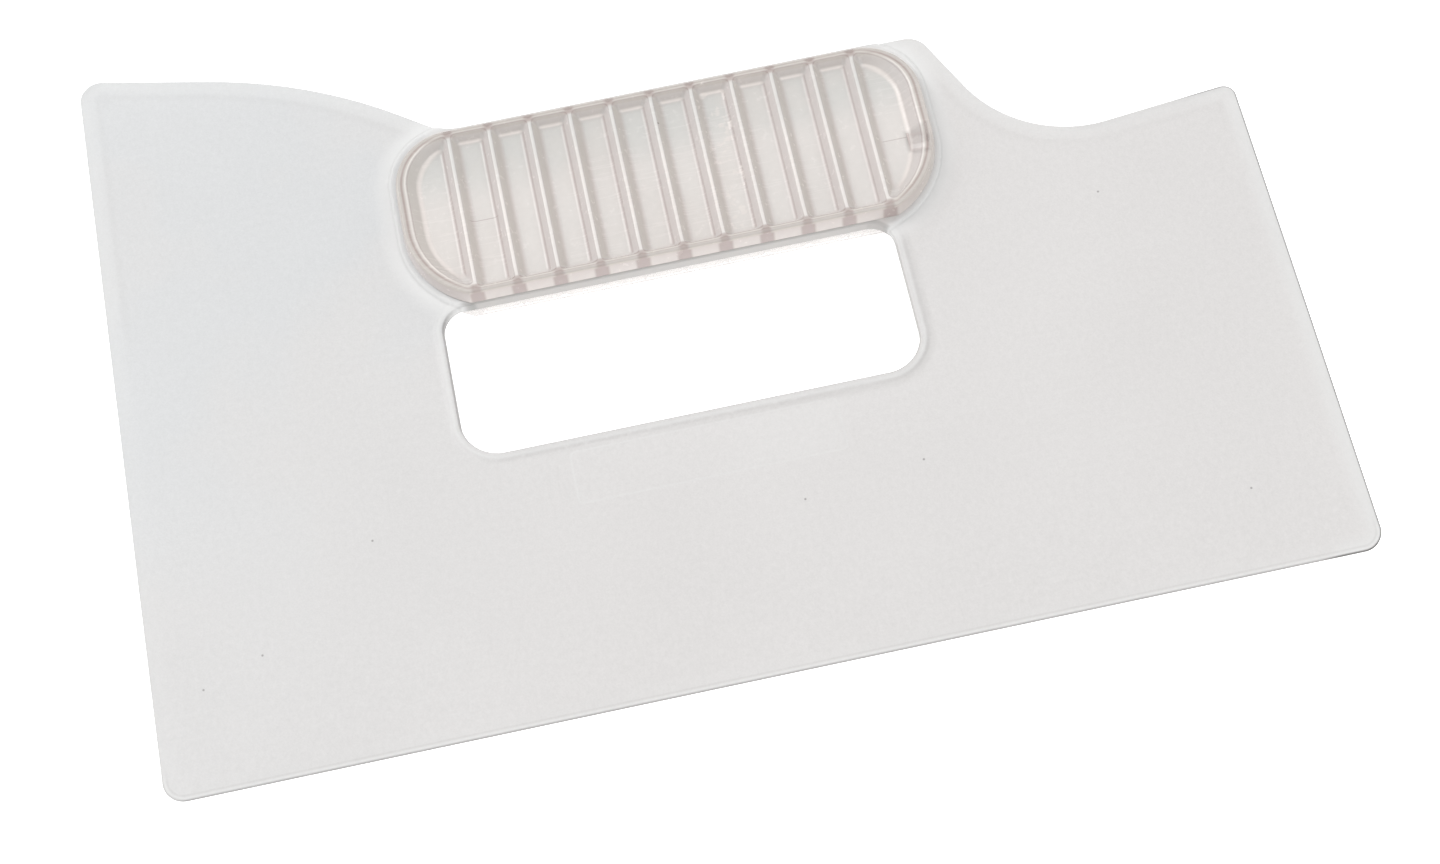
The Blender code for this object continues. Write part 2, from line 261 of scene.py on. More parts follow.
def rounded_outline(corners, side_step=None):
    """Anticlockwise outline from (x, y, radius) corners, with arcs at the corners. With a
    side_step, the straight sides hold points about that far apart."""
    arcs = []
    for i, (x, y, radius) in enumerate(corners):
        before, after = corners[i - 1], corners[(i + 1) % len(corners)]
        back = unit(before[0] - x, before[1] - y)
        ahead = unit(after[0] - x, after[1] - y)
        spread = math.hypot(back[0] - ahead[0], back[1] - ahead[1])
        opening = spread / math.hypot(back[0] + ahead[0], back[1] + ahead[1])
        arcs.append(corner_arc(x, y, back, ahead, radius, opening))
    points = []
    for i, arc in enumerate(arcs):
        points += arc
        if side_step:
            start, end = Vector(arc[-1]), Vector(arcs[(i + 1) % len(arcs)][0])
            count = max(1, round((end - start).length / side_step))
            points += [tuple(start.lerp(end, k / count)) for k in range(1, count)]
    return np.array(points)


def corner_arc(x, y, back, ahead, radius, opening):
    """Points of the arc that rounds a corner. opening is the tangent of half its angle."""
    tangent = radius / opening
    forward = (-back[0], -back[1])
    side = 1 if forward[0] * ahead[1] - forward[1] * ahead[0] > 0 else -1
    normal = (-forward[1] * side, forward[0] * side)
    centre_x = x + back[0] * tangent + normal[0] * radius
    centre_y = y + back[1] * tangent + normal[1] * radius
    turn = 2 * math.atan2(1.0, opening)
    count = max(2, math.ceil(turn / ARC_STEP))
    if radius > WIDE_RADIUS:
        count = 2 * count
    points = []
    for k in range(count + 1):
        along = radius * math.sin(turn * k / count)
        inward = -radius * math.cos(turn * k / count)
        points.append((centre_x + forward[0] * along + normal[0] * inward,
                       centre_y + forward[1] * along + normal[1] * inward))
    return points


def rectangle(left, bottom, right, top, lower_radius, upper_radius, side_step=None):
    return rounded_outline([(left, bottom, lower_radius), (right, bottom, lower_radius),
                            (right, top, upper_radius), (left, top, upper_radius)], side_step)


def inset(outline, distance):
    """Outline moved inwards along its own normals."""
    ahead = np.roll(outline, -1, 0) - outline
    ahead /= np.linalg.norm(ahead, axis=1)[:, None]
    along = ahead + np.roll(ahead, 1, 0)
    along /= np.linalg.norm(along, axis=1)[:, None]
    half_turn = np.clip((along * ahead).sum(1), SHARPEST_CORNER, 1)
    return outline + np.c_[-along[:, 1], along[:, 0]] * (distance / half_turn)[:, None]


def outline_distance(points, outline):
    """Distance of each point from an outline."""
    nearest = np.full(len(points), np.inf)
    for start, end in zip(outline, np.roll(outline, -1, 0)):
        side = end - start
        share = np.clip((points - start) @ side / (side @ side), 0, 1)
        away = np.linalg.norm(points - start - share[:, None] * side, axis=1)
        nearest = np.minimum(nearest, away)
    return nearest


def inside(points, outline):
    """True for each point that an outline surrounds."""
    crossings = np.zeros(len(points), int)
    x, y = points[:, 0], points[:, 1]
    for (x0, y0), (x1, y1) in zip(outline, np.roll(outline, -1, 0)):
        spans = (y0 > y) != (y1 > y)
        if y1 != y0:
            crossings += spans & (x < (x1 - x0) * (y - y0) / (y1 - y0) + x0)
    return crossings % 2 == 1


def signed_distance(points, outline):
    """Distance of each point from an outline, negative inside it."""
    return outline_distance(points, outline) * np.where(inside(points, outline), -1, 1)


def box_distance(points, left, bottom, right, top, radius):
    """Signed distance from a rounded rectangle, negative inside it."""
    centre = np.array([(left + right) / 2, (bottom + top) / 2])
    half = np.array([(right - left) / 2 - radius, (top - bottom) / 2 - radius])
    away = np.abs(points - centre) - half
    outside = np.linalg.norm(np.maximum(away, 0), axis=1)
    return outside + np.minimum(away.max(1), 0) - radius


def smooth_step(value, low, high):
    share = np.clip((value - low) / (high - low), 0, 1)
    return share * share * (3 - 2 * share)


class Skin:
    """Vertices and faces of a closed surface, gathered ring by ring. foot and crown say how
    near a vertex is to the foot or to the crown of a rib or wall, from 0 to 1."""

    def __init__(self):
        self.points = []
        self.faces = []
        self.foot = {}
        self.crown = {}

    def ring(self, outline, heights):
        first = len(self.points)
        heights = np.broadcast_to(heights, (len(outline),))
        self.points += [(x, y, z) for (x, y), z in zip(outline, heights)]
        return list(range(first, len(self.points)))

    def bridge(self, lower, upper):
        """Quads between two rings. Rings that run anticlockwise and rise face outwards."""
        count = len(lower)
        for i in range(count):
            j = (i + 1) % count
            self.faces.append((lower[i], lower[j], upper[j], upper[i]))

    def fill(self, rim, holes, extra=(), heights=None, upwards=True):
        """Triangles inside a ring and outside the rings in holes. extra holds further points
        for the fill and heights gives their levels."""
        loops = [rim, *holes]
        known = [index for loop in loops for index in loop]
        edges, first = [], 0
        for loop in loops:
            count = len(loop)
            edges += [(first + i, first + (i + 1) % count) for i in range(count)]
            first += count
        flat = [Vector(self.points[index][:2]) for index in known]
        if len(extra):
            known += self.ring(extra, heights)
            flat += [Vector(point) for point in extra]
        made, _, triangles, origin, _, _ = delaunay_2d_cdt(flat, edges, [], 0, SAME_POINT)
        made = np.array([point[:] for point in made])
        index = [known[first[0]] for first in origin]
        corners = np.array(triangles)
        middle = made[corners].mean(1)
        outlines = [np.array([self.points[i][:2] for i in loop]) for loop in loops]
        keep = inside(middle, outlines[0])
        for hole in outlines[1:]:
            keep &= ~inside(middle, hole)
        for corner in corners[keep]:
            face = [index[i] for i in corner]
            self.faces.append(face if upwards else face[::-1])

    def piece(self, name, side=1):
        """Object from the surface, raised to the blade's middle. A side of -1 mirrors it to
        the rear face."""
        points = [(x, y, MID_Z + side * z) for x, y, z in self.points]
        faces = self.faces if side > 0 else [face[::-1] for face in self.faces]
        mesh = bpy.data.meshes.new(name)
        mesh.from_pydata(points, [], faces)
        mesh.polygons.foreach_set("use_smooth", [True] * len(mesh.polygons))
        item = bpy.data.objects.new(name, mesh)
        bpy.context.scene.collection.objects.link(item)
        if self.foot:
            count = len(points)
            keep_value(item, "foot_line", np.array([self.foot.get(i, 0.0) for i in range(count)]))
            keep_value(item, "crown", np.array([self.crown.get(i, 0.0) for i in range(count)]))
        tidy_surface(mesh)
        normals = item.modifiers.new("even_shading", "WEIGHTED_NORMAL")
        normals.mode = "FACE_AREA"
        normals.weight = SHADING_WEIGHT
        return item


def tidy_surface(mesh):
    """Joins points that coincide and drops loose ones."""
    shape = bmesh.new()
    shape.from_mesh(mesh)
    bmesh.ops.remove_doubles(shape, verts=shape.verts, dist=SAME_POINT)
    loose = [v for v in shape.verts if not v.link_faces]
    bmesh.ops.delete(shape, geom=loose, context="VERTS")
    shape.to_mesh(mesh)
    shape.free()


def quarter(steps):
    """Angles of a quarter turn."""
    return [math.pi / 2 * k / steps for k in range(steps + 1)]


# Blade.

def blade_outline():
    """Plan of the blade: heel and shoulder on the left, bar in the middle, lobe on the right."""
    heel_radius = EDGE_CORNER_RADIUS
    corner_rise = (1 + math.sin(SHOULDER_SLOPE)) / math.cos(SHOULDER_SLOPE) - 1
    shoulder_start = HEEL_Y + heel_radius * corner_rise
    foot = (GRIP_LEFT + SHOULDER_FOOT_INSET, BAR_TOP_Y)
    step_top = (GRIP_RIGHT + BAR_RIGHT_MARGIN, BAR_TOP_Y)
    lobe_height = BAR_TOP_Y - LOBE_DROP
    fall, foot_fall = math.tan(SHOULDER_SLOPE), math.tan(SHOULDER_FOOT_SLOPE)
    bend_x = (foot[1] + foot_fall * foot[0] - shoulder_start - fall * LEFT) / (foot_fall - fall)
    bend_y = shoulder_start - fall * (bend_x - LEFT)
    step_fall, lobe_rise = math.tan(STEP_SLOPE), math.tan(LOBE_SLOPE)
    fall_to_lobe = step_top[1] - lobe_height + step_fall * step_top[0] + lobe_rise * RIGHT
    hollow_x = fall_to_lobe / (step_fall + lobe_rise)
    hollow_y = lobe_height + lobe_rise * (hollow_x - RIGHT)
    return rounded_outline([
        (LEFT, EDGE_Y, EDGE_CORNER_RADIUS), (RIGHT, EDGE_Y, EDGE_CORNER_RADIUS),
        (RIGHT, lobe_height, LOBE_CORNER_RADIUS), (hollow_x, hollow_y, STEP_RADIUS),
        (*step_top, BAR_END_RADIUS), (*foot, SHOULDER_FOOT_RADIUS),
        (bend_x, bend_y, SHOULDER_RADIUS), (LEFT, shoulder_start, heel_radius)], SIDE_STEP)


def slot_outline(outset=0.0):
    return rectangle(SLOT_CENTRE_X - SLOT_LENGTH / 2 - outset, SLOT_TOP_Y - SLOT_HEIGHT - outset,
                     SLOT_CENTRE_X + SLOT_LENGTH / 2 + outset, SLOT_TOP_Y + outset,
                     SLOT_LOWER_RADIUS + outset, SLOT_UPPER_RADIUS + outset, SIDE_STEP)


def grip_plan(moved_in, sides_in, side_step=None):
    """Plan of the grip: full upper corners, and lower ends that slope in to a short foot.
    sides_in moves the two long sides, moved_in everything else."""
    left, right = GRIP_LEFT + moved_in, GRIP_RIGHT - moved_in
    bottom, top = GRIP_BOTTOM + sides_in, GRIP_TOP - sides_in
    slope = math.tan(FOOT_SLOPE)
    end_y = GRIP_BOTTOM + slope * (FOOT_SPAN - moved_in) + moved_in / math.cos(FOOT_SLOPE)
    foot_reach = (end_y - bottom) / slope
    upper, lower = UPPER_RADIUS - moved_in, LOWER_RADIUS - moved_in
    foot = max(FOOT_RADIUS - moved_in, LEAST_RADIUS)
    return rounded_outline([
        (left + foot_reach, bottom, foot), (right - foot_reach, bottom, foot),
        (right, end_y, lower), (right, top, upper), (left, top, upper), (left, end_y, lower)],
        side_step)


def pad_outline(outset):
    """The pad runs past both edges of the bar."""
    sides_in = -UPPER_FLANGE - PAD_OVERRUN - outset
    return grip_plan(-PAD_END_LIP - outset, sides_in, SIDE_STEP)


def panel_outline(outset):
    return rectangle(PANEL_X - PANEL_LENGTH / 2 - outset, PANEL_Y - PANEL_HEIGHT / 2 - outset,
                     PANEL_X + PANEL_LENGTH / 2 + outset, PANEL_Y + PANEL_HEIGHT / 2 + outset,
                     PANEL_RADIUS + outset, PANEL_RADIUS + outset, SIDE_STEP)


def panel_distance(points):
    return box_distance(points, PANEL_X - PANEL_LENGTH / 2, PANEL_Y - PANEL_HEIGHT / 2,
                        PANEL_X + PANEL_LENGTH / 2, PANEL_Y + PANEL_HEIGHT / 2, PANEL_RADIUS)


def blade_height(points, slot):
    """Height of the blade's face above its middle plane."""
    height = np.interp(points[:, 1], [EDGE_Y, EDGE_Y + EDGE_BEVEL_WIDTH, EDGE_Y + TAPER_END],
                       [HALF_EDGE, HALF_TAPERED, HALF_THICKNESS])
    lip = LIP_RISE * (1 - smooth_step(outline_distance(points, slot),
                                      LIP_WIDTH - LIP_SLOPE_WIDTH, LIP_WIDTH))
    pad_away = signed_distance(points, pad_outline(0))
    pad = PAD_RISE * (1 - smooth_step(pad_away, -PAD_SLOPE_WIDTH, 0))
    swell = SWELL_RISE * (1 - smooth_step(pad_away, 0, SWELL_WIDTH))
    panel = PANEL_RISE * (1 - smooth_step(panel_distance(points), -PANEL_SLOPE_WIDTH, 0))
    return height + np.maximum(lip, np.minimum(pad + swell, PAD_RISE)) + panel


def blade_field(outline, slot, window):
    """Points spread over the blade's face, closer together where its height changes."""
    loops = [slot_outline(d) for d in np.linspace(LIP_ROUND + 0.0004, LIP_WIDTH + 0.001, 8)]
    loops += [pad_outline(-d) for d in np.linspace(0, PAD_SLOPE_WIDTH + 0.0003, 6)]
    loops += [pad_outline(d) for d in np.linspace(0.001, SWELL_WIDTH, 5)]
    loops += [panel_outline(-d) for d in np.linspace(0, PANEL_SLOPE_WIDTH, 4)]
    loops += [inset(outline, d) for d in RIM_LOOPS]
    across = np.arange(LEFT, RIGHT, FIELD_STEP / 2)
    for y in (EDGE_Y + EDGE_BEVEL_WIDTH, EDGE_Y + TAPER_END):
        loops.append(np.c_[across, np.full(len(across), y)])
    columns = np.arange(LEFT, RIGHT, FIELD_STEP)
    rows = np.arange(EDGE_Y, HEEL_Y, FIELD_STEP)
    loops.append(np.array([(x + (j % 2) * FIELD_STEP / 2, y)
                           for j, y in enumerate(rows) for x in columns]))
    points = np.concatenate(loops)
    keep = inside(points, outline) & ~inside(points, slot) & ~inside(points, window)
    keep &= outline_distance(points, outline) > RIM_CLEARANCE
    keep &= outline_distance(points, slot) > LIP_CLEARANCE
    keep &= outline_distance(points, window) > RIM_ROUND
    points = points[keep]
    spots = np.round(points / FIELD_GAP).astype(int)
    _, first = np.unique(spots, axis=0, return_index=True)
    return points[np.sort(first)]


def key_outline(growth):
    """Square round the key's place, with a little rounding at its corners."""
    centre_x = GRIP_RIGHT - KEY_INSET - KEY_SIZE / 2
    centre_y = GRIP_MID_Y + KEY_OFFSET_Y
    half = KEY_SIZE / 2 + growth
    return rectangle(centre_x - half, centre_y - half, centre_x + half, centre_y + half,
                     KEY_RADIUS, KEY_RADIUS)


def make_blade():
    outline, slot, window = blade_outline(), slot_outline(), key_outline(KEY_CLEARANCE)
    field = blade_field(outline, slot, window)
    field_height = blade_height(field, slot)
    skin = Skin()
    faces = []
    for side in (-1, 1):
        rims = []
        for edge, radius in ((outline, RIM_ROUND), (slot[::-1], LIP_ROUND)):
            rings = []
            for angle in quarter(ROUND_STEPS):
                moved = inset(edge, radius * (1 - math.cos(angle)))
                top = blade_height(moved, slot) - radius * (1 - math.sin(angle))
                rings.append(skin.ring(moved, side * top))
            rims.append(rings)
        hole = skin.ring(window, side * blade_height(window, slot))
        faces.append((rims, hole))
        skin.fill(rims[0][-1], [rims[1][-1], hole], field, side * field_height, side > 0)
    (lower_rims, lower_hole), (upper_rims, upper_hole) = faces
    for lower, upper in zip(lower_rims, upper_rims):
        rings = lower[::-1] + upper
        for below, above in zip(rings, rings[1:]):
            skin.bridge(below, above)
    skin.bridge(upper_hole, lower_hole)
    item = skin.piece("blade_sheet")
    points = np.array([v.co[:2] for v in item.data.vertices])
    keep_value(item, "edge_distance", outline_distance(points, outline))
    keep_value(item, "slot_distance", outline_distance(points, slot))
    keep_value(item, "pad_distance", signed_distance(points, pad_outline(0)))
    keep_value(item, "panel_distance", panel_distance(points))
    return item


def keep_value(item, name, values):
    """Keeps a value for each point, for the materials to read."""
    attribute = item.data.attributes.new(name, "FLOAT", "POINT")
    attribute.data.foreach_set("value", values.astype(np.float32))


# Grip.

def grip_outline(moved_in, side_step=None):
    return grip_plan(moved_in, moved_in, side_step)


def rib_x(index):
    pitch = (GRIP_RIGHT - GRIP_LEFT - 2 * END_SPAN) / (RIB_COUNT - 1)
    return GRIP_LEFT + END_SPAN + index * pitch


def end_circle(upper, right, wall, extra):
    """Centre and radius of the arc that ends the space inside a wall of that thickness, where
    the ends of the wall are thicker by extra."""
    radius = UPPER_RADIUS if upper else LOWER_RADIUS
    centre_x = GRIP_RIGHT - radius - extra if right else GRIP_LEFT + radius + extra
    if upper:
        centre_y = GRIP_TOP - radius
    else:
        rise = math.tan(FOOT_SLOPE) * (FOOT_SPAN - radius) + radius / math.cos(FOOT_SLOPE)
        centre_y = GRIP_BOTTOM + rise
    return centre_x, centre_y, radius - wall


def cavity_edge(x, upper, wall, extra):
    """Level, at x, of the upper or lower end of the space inside the wall."""
    straight = GRIP_TOP - wall if upper else GRIP_BOTTOM + wall
    centre_x, centre_y, radius = end_circle(upper, x > GRIP_MID_X, wall, extra)
    beyond = x - centre_x if x > GRIP_MID_X else centre_x - x
    if beyond <= 0:
        return straight
    half = math.sqrt(max(radius * radius - beyond * beyond, 0.0))
    return min(straight, centre_y + half) if upper else max(straight, centre_y - half)


def pocket_outline(index, depth, moved_in):
    """Outline of one pocket between ribs, at a depth from 0 at the crest to 1 at the floor.
    Its corners are rounded, and the end pockets follow the round ends of the wall."""
    wall = WALL_TOP_INSET + WALL_CREST_WIDTH + depth * WALL_INNER_DRAFT + moved_in
    rib = (RIB_CREST_WIDTH + depth * (RIB_BASE_WIDTH - RIB_CREST_WIDTH)) / 2 + moved_in
    corner = max(POCKET_CORNER - moved_in, LEAST_POCKET_CORNER)
    extra = END_WALL_EXTRA + depth * END_DRAFT_EXTRA
    left = GRIP_LEFT + wall + extra if index == 0 else rib_x(index - 1) + rib
    right = GRIP_RIGHT - wall - extra if index == RIB_COUNT else rib_x(index) - rib
    quarters = []
    for turn in range(4):
        upper, rightwards = turn < 2, turn in (0, 3)
        centre_x, centre_y, radius = end_circle(upper, rightwards, wall + corner, extra)
        drop = 0.0 if upper else centre_y - GRIP_BOTTOM - wall - corner
        shortest = math.sqrt(max(radius * radius - drop * drop, 0.0)) if drop else 0.0
        arc = []
        for angle in quarter(CORNER_STEPS):
            x_way = math.cos(angle + turn * math.pi / 2)
            y_way = math.sin(angle + turn * math.pi / 2)
            reach = max(radius * abs(x_way), shortest)
            x = centre_x + (reach if rightwards else -reach)
            x = min(max(x, left + corner), right - corner)
            y = cavity_edge(x, upper, wall + corner, extra)
            arc.append((x + corner * x_way, y + corner * y_way))
        quarters.append(arc)
    upper_right, upper_left, lower_left, lower_right = quarters
    left_side = side_points(upper_left[-1], lower_left[0])
    right_side = side_points(lower_right[-1], upper_right[0])
    return np.array([*upper_right, *upper_left, *left_side,
                     *lower_left, *lower_right, *right_side])


def side_points(start, end):
    """Points along a rib's side, closer together near the walls."""
    shares = [(1 - math.cos(math.pi * k / RIB_SIDE_STEPS)) / 2 for k in range(1, RIB_SIDE_STEPS)]
    return [tuple(Vector(start).lerp(Vector(end), share)) for share in shares]


def rib_lowering(points):
    """How far the ribs' crests lie under the wall's crest, easing off towards the wall."""
    start = WALL_TOP_INSET + WALL_CREST_WIDTH
    from_side = outline_distance(points, grip_outline(0))
    return RIB_DROP * smooth_step(from_side, start, start + RIB_DROP_WIDTH)


def pocket_rings(skin, index):
    """Sinks one pocket and returns its rim at the crest."""
    depth_range = CREST - FLOOR
    rings = []
    for angle in quarter(ROUND_STEPS):
        drop = RIM_RADIUS * (1 - math.cos(angle))
        moved_in = -RIM_RADIUS * (1 - math.sin(angle))
        rings.append((drop / depth_range, moved_in, CREST - drop, 0.0, math.cos(angle) ** 2))
    for angle in quarter(ROUND_STEPS + 1):
        z = FLOOR + FLOOR_FILLET * (1 - math.sin(angle))
        moved_in = FLOOR_FILLET * (1 - math.cos(angle))
        rings.append(((CREST - z) / depth_range, moved_in, z, math.sin(2 * angle), 0.0))
    made = []
    for depth, moved_in, z, foot, crown in rings:
        outline = pocket_outline(index, depth, moved_in)
        share = (z - FLOOR) / depth_range
        ring = skin.ring(outline, z - share * rib_lowering(outline))
        skin.foot.update(dict.fromkeys(ring, foot))
        skin.crown.update(dict.fromkeys(ring, crown))
        made.append(ring)
    for upper, lower in zip(made, made[1:]):
        skin.bridge(lower[::-1], upper[::-1])
    skin.fill(made[-1], [])
    return made[0]


def make_shell(name, side):
    """One grip shell. The front one holds the key's socket, the rear one the key itself."""
    skin = Skin()
    rings = []
    for angle in quarter(ROUND_STEPS - 2):
        outline = grip_outline(SEAT_ROUND * (1 - math.sin(angle)), SIDE_STEP)
        rings.append(skin.ring(outline, SEAT + SEAT_ROUND * (1 - math.cos(angle))))
    for angle in quarter(WALL_STEPS):
        outline = grip_outline(WALL_DRAFT + WALL_ROUND * (1 - math.cos(angle)), SIDE_STEP)
        rings.append(skin.ring(outline, CREST - WALL_ROUND * (1 - math.sin(angle))))
    for lower, upper in zip(rings, rings[1:]):
        skin.bridge(lower, upper)
    rims = [pocket_rings(skin, i) for i in range(RIB_COUNT + 1)]
    skin.fill(rings[-1], rims)
    if side > 0:
        mouth, depth = key_outline(KEY_CLEARANCE), KEY_TOP + KEY_CLEARANCE
    else:
        mouth, depth = key_outline(0.0), -KEY_TOP
    mouth_ring = skin.ring(mouth, SEAT)
    end_ring = skin.ring(mouth, depth)
    skin.fill(rings[0], [mouth_ring], upwards=False)
    if side < 0:
        skin.bridge(end_ring, mouth_ring)
    else:
        skin.bridge(end_ring[::-1], mouth_ring[::-1])
    skin.fill(end_ring, [], upwards=False)
    item = skin.piece(name, side)
    points = np.array([v.co[:2] for v in item.data.vertices])
    keep_value(item, "wall_distance", outline_distance(points, grip_outline(0)))
    return item


# Materials.

class Net:
    """Builds the nodes of a material or of a shared effect."""

    def __init__(self, tree):
        self.tree = tree

    def node(self, kind, **settings):
        made = self.tree.nodes.new(kind)
        for name, value in settings.items():
            setattr(made, name, value)
        return made

    def put(self, socket, value):
        if isinstance(value, bpy.types.NodeSocket):
            self.tree.links.new(value, socket)
        else:
            socket.default_value = value

    def maths(self, operation, *values):
        made = self.node("ShaderNodeMath", operation=operation)
        for socket, value in zip(made.inputs, values):
            self.put(socket, value)
        return made.outputs[0]

    def times(self, a, b):
        return self.maths("MULTIPLY", a, b)

    def plus(self, a, b):
        return self.maths("ADD", a, b)

    def ramp(self, value, low, high, start=0.0, end=1.0):
        """Eases from start at low to end at high."""
        made = self.node("ShaderNodeMapRange", interpolation_type="SMOOTHSTEP")
        for name, part in (("Value", value), ("From Min", low), ("From Max", high),
                           ("To Min", start), ("To Max", end)):
            self.put(made.inputs[name], part)
        return made.outputs["Result"]

    def fade(self, value, low, high):
        """Eases from 1 at low to 0 at high."""
        return self.ramp(value, low, high, 1.0, 0.0)

    def hump(self, value, low, peak, high):
        """Rises from low to a peak and falls again to high."""
        return self.times(self.ramp(value, low, peak), self.fade(value, peak, high))

    def larger(self, a, b):
        return self.maths("MAXIMUM", a, b)

    def size_of(self, value):
        """The value without its sign."""
        return self.maths("ABSOLUTE", value)

    def mix(self, share, a, b):
        made = self.node("ShaderNodeMix", data_type="RGBA")
        self.put(made.inputs[0], share)
        self.put(made.inputs[6], a)
        self.put(made.inputs[7], b)
        return made.outputs[2]

    def tint(self, colour, new, mask, strength):
        """Colour moved towards a new one where the mask is."""
        return self.mix(self.times(mask, strength), colour, new)

    def shade(self, colour, factor):
        """Colour made lighter or darker by a factor."""
        made = self.node("ShaderNodeVectorMath", operation="SCALE")
        self.put(made.inputs[0], colour)
        self.put(made.inputs["Scale"], factor)
        return made.outputs[0]

    def place(self):
        """Place on the piece, and its three parts."""
        spot = self.node("ShaderNodeTexCoord").outputs["Object"]
        parts = self.node("ShaderNodeSeparateXYZ")
        self.put(parts.inputs[0], spot)
        return spot, parts.outputs[0], parts.outputs[1], parts.outputs[2]

    def facing_way(self, direction):
        """How squarely the surface faces a direction, from -1 to 1."""
        made = self.node("ShaderNodeVectorMath", operation="DOT_PRODUCT")
        self.put(made.inputs[0], self.node("ShaderNodeNewGeometry").outputs["Normal"])
        self.put(made.inputs[1], Vector(direction).normalized())
        return made.outputs["Value"]

    def turned_to(self, direction, low, high):
        """Mask of the surfaces that face a direction."""
        return self.ramp(self.facing_way(direction), low, high)

    def kept(self, name):
        """A value that each point of the mesh keeps."""
        return self.node("ShaderNodeAttribute", attribute_name=name).outputs["Fac"]

    def noise(self, spot, scale, detail=2.0, stretch=None):
        """Soft noise. With a stretch, it is squeezed along each axis and turned a little."""
        if stretch:
            spread = self.node("ShaderNodeMapping")
            self.put(spread.inputs["Vector"], spot)
            self.put(spread.inputs["Scale"], stretch)
            self.put(spread.inputs["Rotation"], (0.0, 0.0, STREAK_TURN))
            spot = spread.outputs[0]
        made = self.node("ShaderNodeTexNoise")
        self.put(made.inputs["Vector"], spot)
        self.put(made.inputs["Scale"], scale)
        self.put(made.inputs["Detail"], detail)
        return made.outputs["Fac"]

    def effect(self, tree, **values):
        made = self.node("ShaderNodeGroup", node_tree=tree)
        for name, value in values.items():
            self.put(made.inputs[name.capitalize()], value)
        return made.outputs


def new_effect(name, inputs, outputs):
    """Shared effect with float sockets. Returns its net, its inputs and its output node."""
    tree = bpy.data.node_groups.new(name, "ShaderNodeTree")
    for socket in inputs:
        tree.interface.new_socket(socket, in_out="INPUT", socket_type="NodeSocketFloat")
    for socket in outputs:
        tree.interface.new_socket(socket, in_out="OUTPUT", socket_type="NodeSocketFloat")
    net = Net(tree)
    return net, net.node("NodeGroupInput").outputs, net.node("NodeGroupOutput")


def moulded_grain():
    """Fine grain left by the mould, and soft clouds in the plastic."""
    net, given, out = new_effect("moulded_grain", ["Fineness"], ["Grain", "Clouds"])
    spot = net.place()[0]
    fine = net.noise(spot, given["Fineness"], 3.0)
    coarse = net.noise(spot, net.times(given["Fineness"], 0.35), 2.0)
    net.put(out.inputs["Grain"], net.plus(net.times(fine, 0.6), net.times(coarse, 0.4)))
    net.put(out.inputs["Clouds"], net.noise(spot, 18.0, 3.0))
    return net.tree


def stray_specks():
    """Small specks: one in every few cells."""
    net, given, out = new_effect("stray_specks", ["Cells", "Radius", "Share"], ["Mask"])
    cells = net.node("ShaderNodeTexVoronoi", voronoi_dimensions="2D")
    net.put(cells.inputs["Vector"], net.place()[0])
    net.put(cells.inputs["Scale"], given["Cells"])
    size = net.times(given["Radius"], given["Cells"])
    near = net.ramp(cells.outputs["Distance"], net.times(size, 0.5), size, 1.0, 0.0)
    pick = net.node("ShaderNodeSeparateColor")
    net.put(pick.inputs[0], cells.outputs["Color"])
    chosen = net.maths("LESS_THAN", pick.outputs[0], given["Share"])
    net.put(out.inputs["Mask"], net.times(near, chosen))
    return net.tree


def hairline_scuffs():
    """Short fine rubs that run across the tool."""
    net, given, out = new_effect("hairline_scuffs", ["Amount"], ["Mask"])
    spot = net.place()[0]
    lines = net.noise(spot, 60.0, 4.0, (1.0, 26.0, 1.0))
    patches = net.ramp(net.noise(spot, 32.0), 0.5, 0.62)
    thin = net.hump(lines, 0.56, 0.6, 0.64)
    net.put(out.inputs["Mask"], net.times(net.times(thin, patches), given["Amount"]))
    return net.tree


def moulded_tone(net, colour, mould, base, grain, clouds):
    """Colour made uneven by the mould's grain and by the clouds in the plastic."""
    uneven = net.plus(net.times(mould["Grain"], grain), net.times(mould["Clouds"], clouds))
    return net.shade(colour, net.plus(uneven, base))


def moulded_roughness(net, mould, rubs, base, grain, rubbed):
    """Roughness that rises with the grain and where the plastic is rubbed."""
    return net.plus(net.times(mould["Grain"], grain), net.plus(base, net.times(rubs, rubbed)))


def new_material(name):
    material = bpy.data.materials.new(name)
    material.use_nodes = True
    net = Net(material.node_tree)
    return material, net, material.node_tree.nodes["Principled BSDF"]


def bumped(net, shader, height, distance):
    bump = net.node("ShaderNodeBump")
    net.put(bump.inputs["Distance"], distance)
    net.put(bump.inputs["Height"], height)
    net.put(shader.inputs["Normal"], bump.outputs["Normal"])


